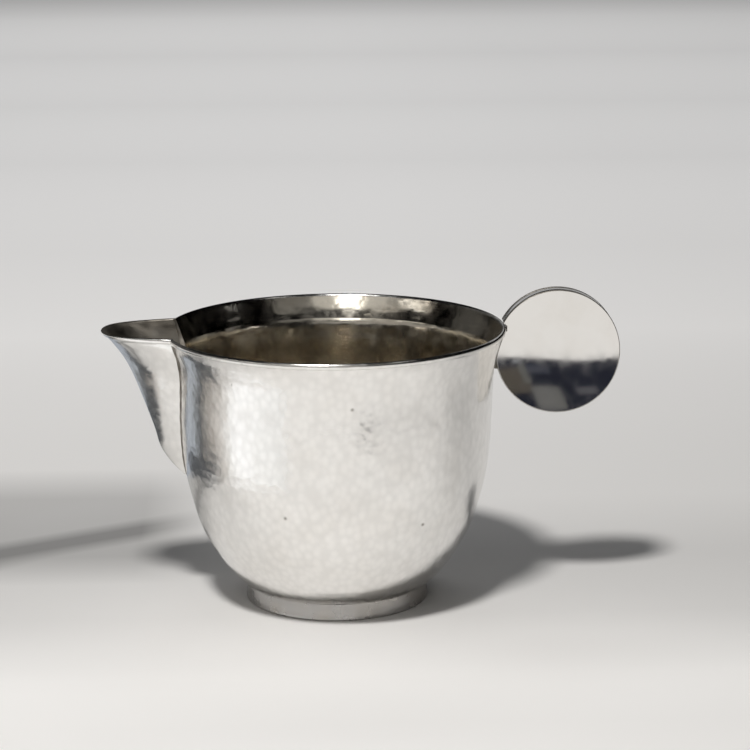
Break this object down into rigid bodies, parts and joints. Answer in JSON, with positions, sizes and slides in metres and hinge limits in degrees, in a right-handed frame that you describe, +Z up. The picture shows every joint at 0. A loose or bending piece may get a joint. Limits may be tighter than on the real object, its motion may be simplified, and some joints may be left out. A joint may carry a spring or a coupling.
{
  "type": "cream jug",
  "caption": "Small round-bodied silver jug with an outward lip, a folded V spout, a low ring foot and a flat hollow disc as its handle.",
  "frame": {"origin": "centre of the bottom of the bounding box, on the table plane that the foot stands on", "axes": "+Z up along the bowl's axis, +X from the spout towards the disc handle, +Y towards the back of the jug when the spout is on the left"},
  "size_m": [0.1278, 0.084, 0.0772],
  "materials": {
    "bowl": "hammered satin silver",
    "spout": "hammered satin silver",
    "foot_ring": "satin silver",
    "handle_front_plate": "polished silver",
    "handle_back_plate": "polished silver",
    "handle_edge_band": "polished silver",
    "handle_neck": "satin silver"
  },
  "bodies": {
    "root": {"bowl": "bowl", "spout": "spout", "foot_ring": "foot_ring", "handle_front_plate": "handle_front_plate", "handle_back_plate": "handle_back_plate", "handle_edge_band": "handle_edge_band", "handle_neck": "handle_neck"}
  },
  "joints": []
}
